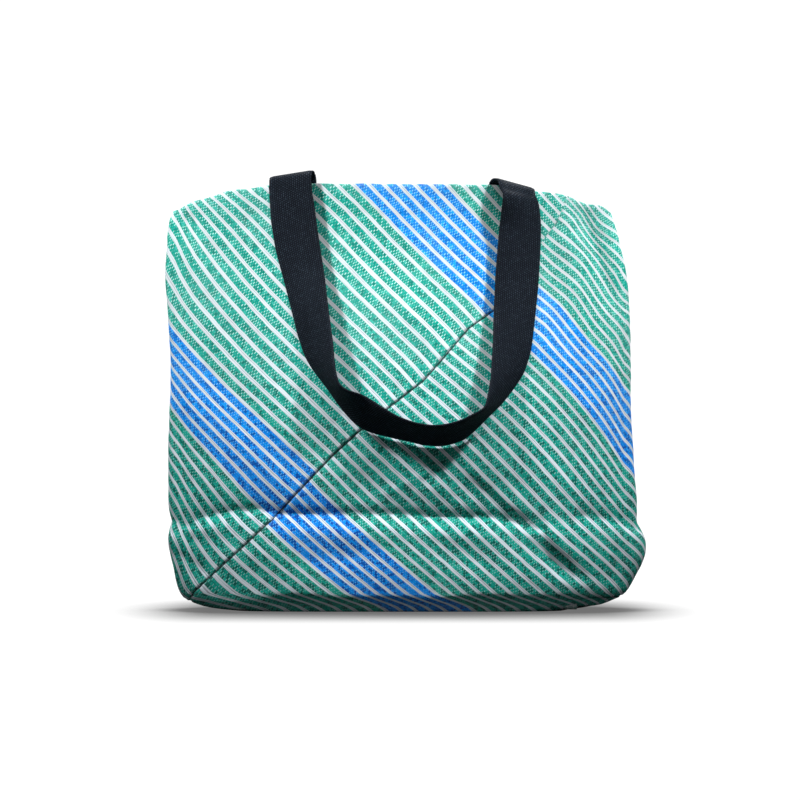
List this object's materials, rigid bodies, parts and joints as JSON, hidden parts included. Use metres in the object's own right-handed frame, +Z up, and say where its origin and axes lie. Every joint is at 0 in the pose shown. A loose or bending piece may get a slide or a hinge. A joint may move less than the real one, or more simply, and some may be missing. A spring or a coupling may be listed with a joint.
{
  "type": "foldable tote bag",
  "caption": "Open-topped striped cloth tote with a boxed base, wound from diagonal strips, with black webbing handles sewn inside the rim.",
  "frame": {"origin": "centre of the footprint on the ground plane, the bag standing on its base", "axes": "+X to the right seen from the front along the widest side, -Y out of the front face, +Z up"},
  "size_m": [0.4141, 0.1516, 0.3771],
  "materials": {
    "striped_cloth": "matte yarn-dyed weave, green and blue stripes on white",
    "seam_cloth": "matte, pressed seam allowances of the striped cloth",
    "webbing": "ribbed cotton webbing, near black",
    "thread": "black sewing thread"
  },
  "bodies": {
    "base_section": {"strip_a_lower": "striped_cloth", "strip_b_lower": "striped_cloth", "bottom_seam": "seam_cloth", "corner_seam_left": "seam_cloth", "corner_seam_right": "seam_cloth", "front_seam_lower": "seam_cloth", "back_seam_lower": "seam_cloth"},
    "upper_bag": {"strip_a_upper": "striped_cloth", "strip_b_upper": "striped_cloth", "front_seam_upper": "seam_cloth", "back_seam_upper": "seam_cloth", "rim_hem_front": "striped_cloth", "rim_hem_back": "striped_cloth", "front_strap_end_left": "webbing", "front_strap_end_right": "webbing", "back_strap_end_left": "webbing", "back_strap_end_right": "webbing", "front_box_stitch_left": "thread", "front_box_stitch_right": "thread", "back_box_stitch_left": "thread", "back_box_stitch_right": "thread"},
    "front_handle": {"front_handle_strap": "webbing"},
    "back_handle": {"back_handle_strap": "webbing"}
  },
  "joints": [
    {"name": "body_fold", "type": "hinge", "parent": "base_section", "child": "upper_bag", "pos_m": [0, -0.0392, 0.079], "axis": [1, 0, 0], "range_deg": [0, 90]},
    {"name": "front_handle_swing", "type": "hinge", "parent": "upper_bag", "child": "front_handle", "pos_m": [0, -0.0172, 0.373], "axis": [-1, 0, 0], "range_deg": [0, 164]},
    {"name": "back_handle_swing", "type": "hinge", "parent": "upper_bag", "child": "back_handle", "pos_m": [0, 0.0172, 0.373], "axis": [1, 0, 0], "range_deg": [0, 164]}
  ]
}
